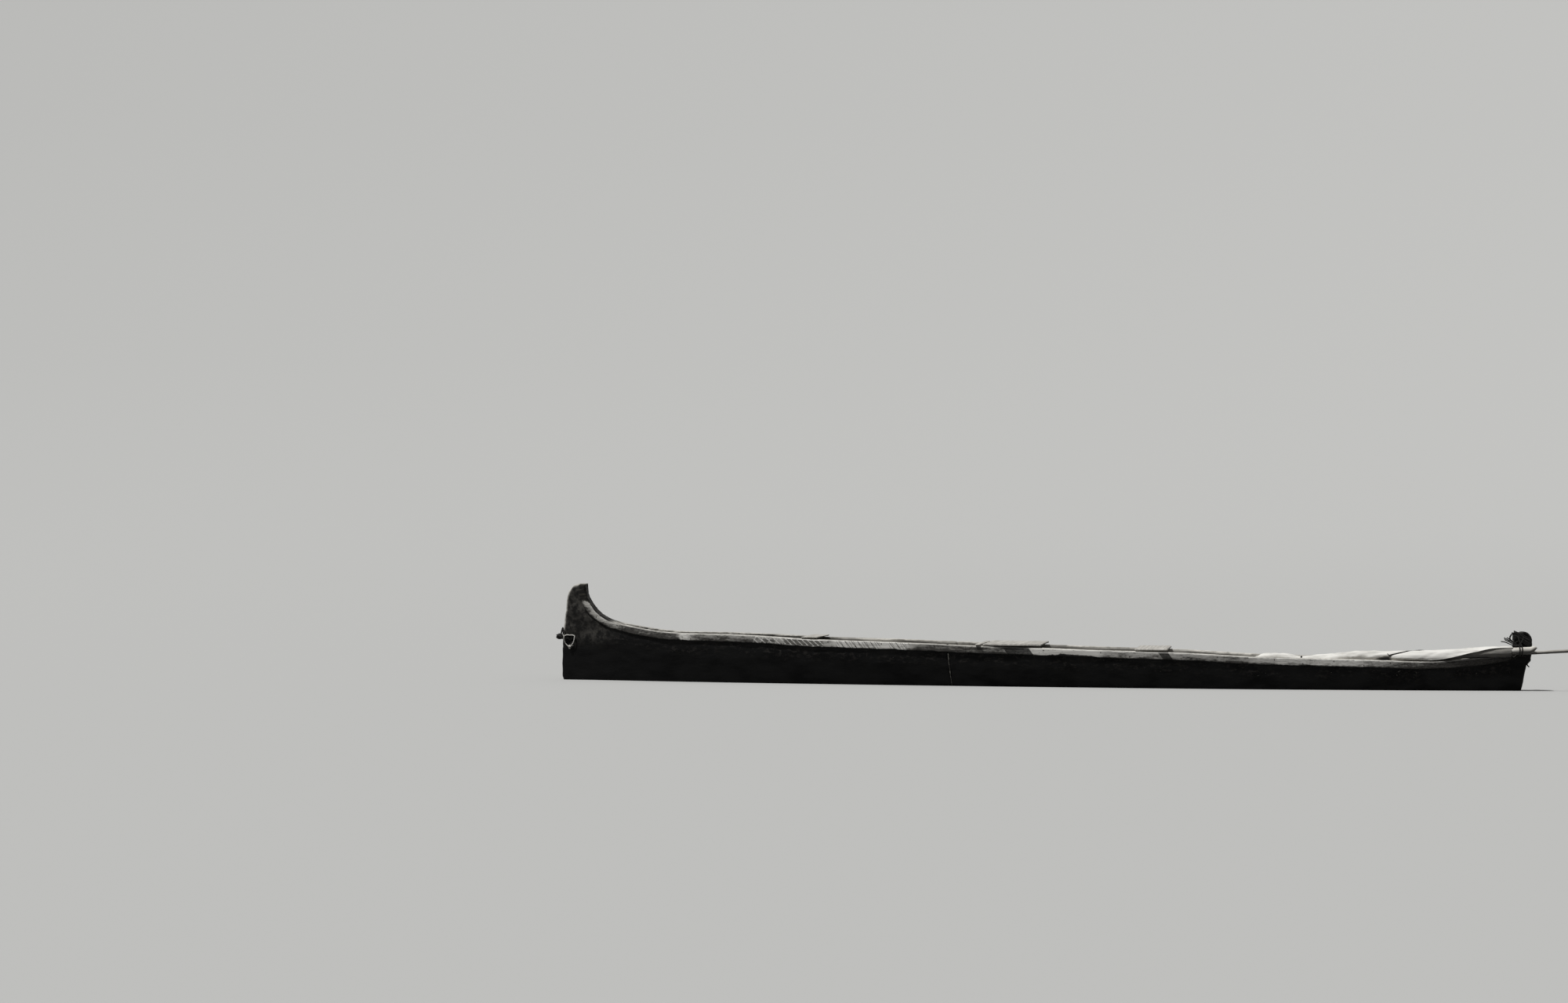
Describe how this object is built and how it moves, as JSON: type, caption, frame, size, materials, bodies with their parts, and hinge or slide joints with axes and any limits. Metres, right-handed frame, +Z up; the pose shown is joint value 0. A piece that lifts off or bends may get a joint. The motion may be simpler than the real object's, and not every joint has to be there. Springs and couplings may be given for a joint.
{
  "type": "sailing dugout canoe",
  "caption": "Long narrow canoe hewn from a log in two lengths, high upright bow with a cord through the stem, nailed rim strakes, boards across, furled sail and spars stowed aft, rope-wound stern.",
  "frame": {"origin": "amidships on the centreline, at the level the water reaches", "axes": "-X toward the bow, +X toward the stern, -Y port (the side with the furled sail), +Z up"},
  "size_m": [7.2733, 0.8484, 0.853],
  "materials": {
    "tarred_log": "tarred and weathered, satin",
    "weathered_strake": "worn pale paint over grey wood",
    "grey_board": "bare weathered board",
    "spar_wood": "bare pole, smooth",
    "sailcloth": "soft bleached cloth",
    "dark_rope": "tarred rope",
    "light_cord": "thin twisted cord"
  },
  "bodies": {
    "root": {"hull_fore": "tarred_log", "hull_aft": "tarred_log", "strake_port_bow": "weathered_strake", "strake_port_fore": "weathered_strake", "strake_port_mid": "weathered_strake", "strake_port_aft": "weathered_strake", "strake_starboard_bow": "weathered_strake", "strake_starboard_fore": "weathered_strake", "strake_starboard_mid": "weathered_strake", "strake_starboard_aft": "weathered_strake", "fore_board": "grey_board", "cargo_board": "grey_board", "narrow_board": "grey_board", "mid_board": "grey_board", "mast_thwart": "grey_board", "middle_seat": "grey_board", "stern_seat": "grey_board", "mast_step": "grey_board", "mast": "spar_wood", "sprit": "spar_wood", "furled_sail": "sailcloth", "sail_tie_fore": "dark_rope", "sail_tie_aft": "dark_rope", "spar_lashing_fore": "dark_rope", "spar_lashing_aft": "dark_rope", "stern_rope": "dark_rope", "bow_cord": "light_cord", "bow_loop": "light_cord", "bow_knot": "dark_rope", "paddle": "spar_wood"}
  },
  "joints": []
}
